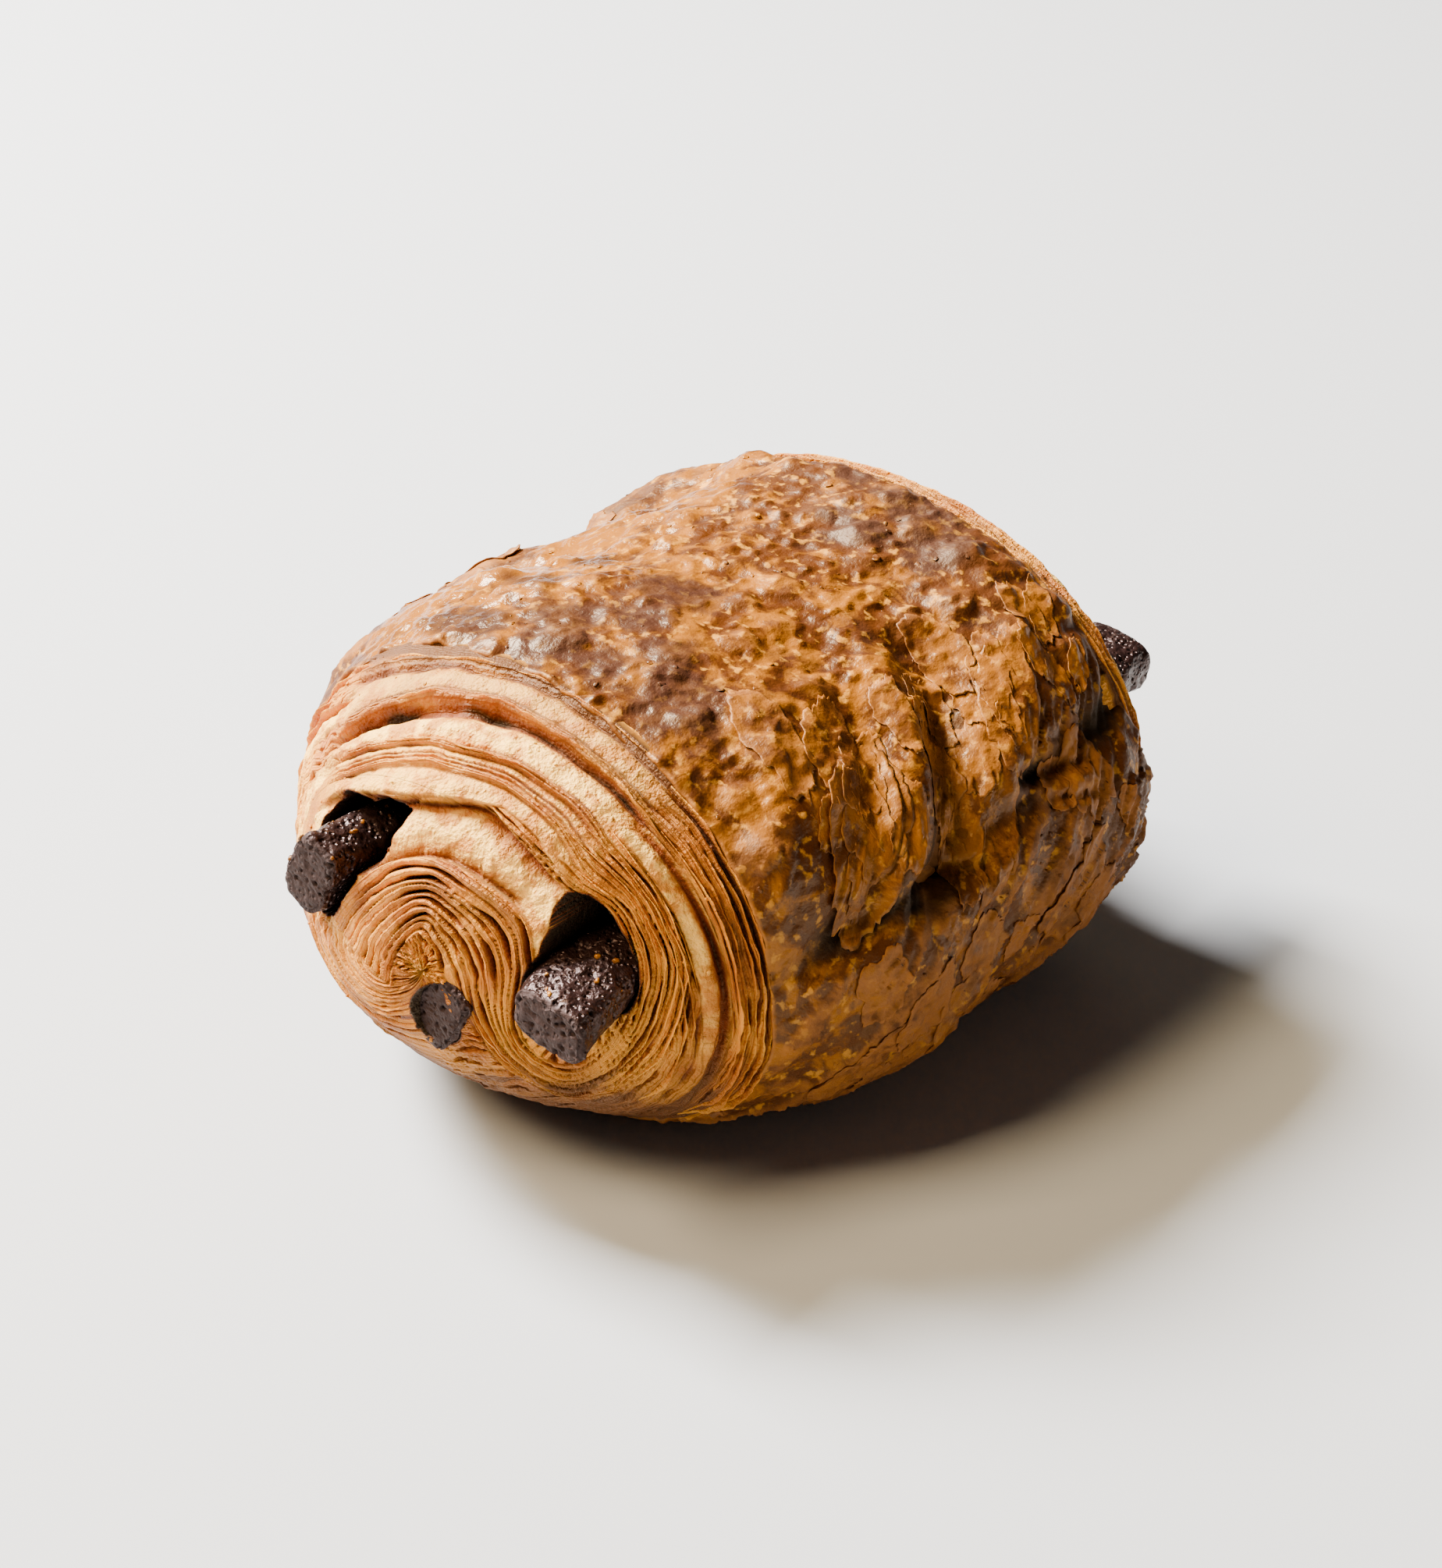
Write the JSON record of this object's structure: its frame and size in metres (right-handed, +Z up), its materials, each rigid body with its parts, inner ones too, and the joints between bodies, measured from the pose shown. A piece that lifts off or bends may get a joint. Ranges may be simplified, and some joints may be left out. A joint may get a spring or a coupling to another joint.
{
  "type": "pain au chocolat",
  "caption": "Baked roll of laminated dough, with open spiral ends and dark chocolate batons running through it and showing at both ends.",
  "frame": {"origin": "under the middle of the object's box, on the surface it rests on", "axes": "+X along the roll towards its far end, +Y to the roll's left seen from its open near end at -X, +Z up"},
  "size_m": [0.1076, 0.0854, 0.0555],
  "materials": {
    "crust": null,
    "dark_chocolate": "baked dark chocolate, matt and pitted on the end faces, rough and half glossy along the bar"
  },
  "bodies": {
    "root": {"pastry": "crust", "baton_left": "dark_chocolate", "baton_right": "dark_chocolate", "baton_centre": "dark_chocolate"}
  },
  "joints": []
}
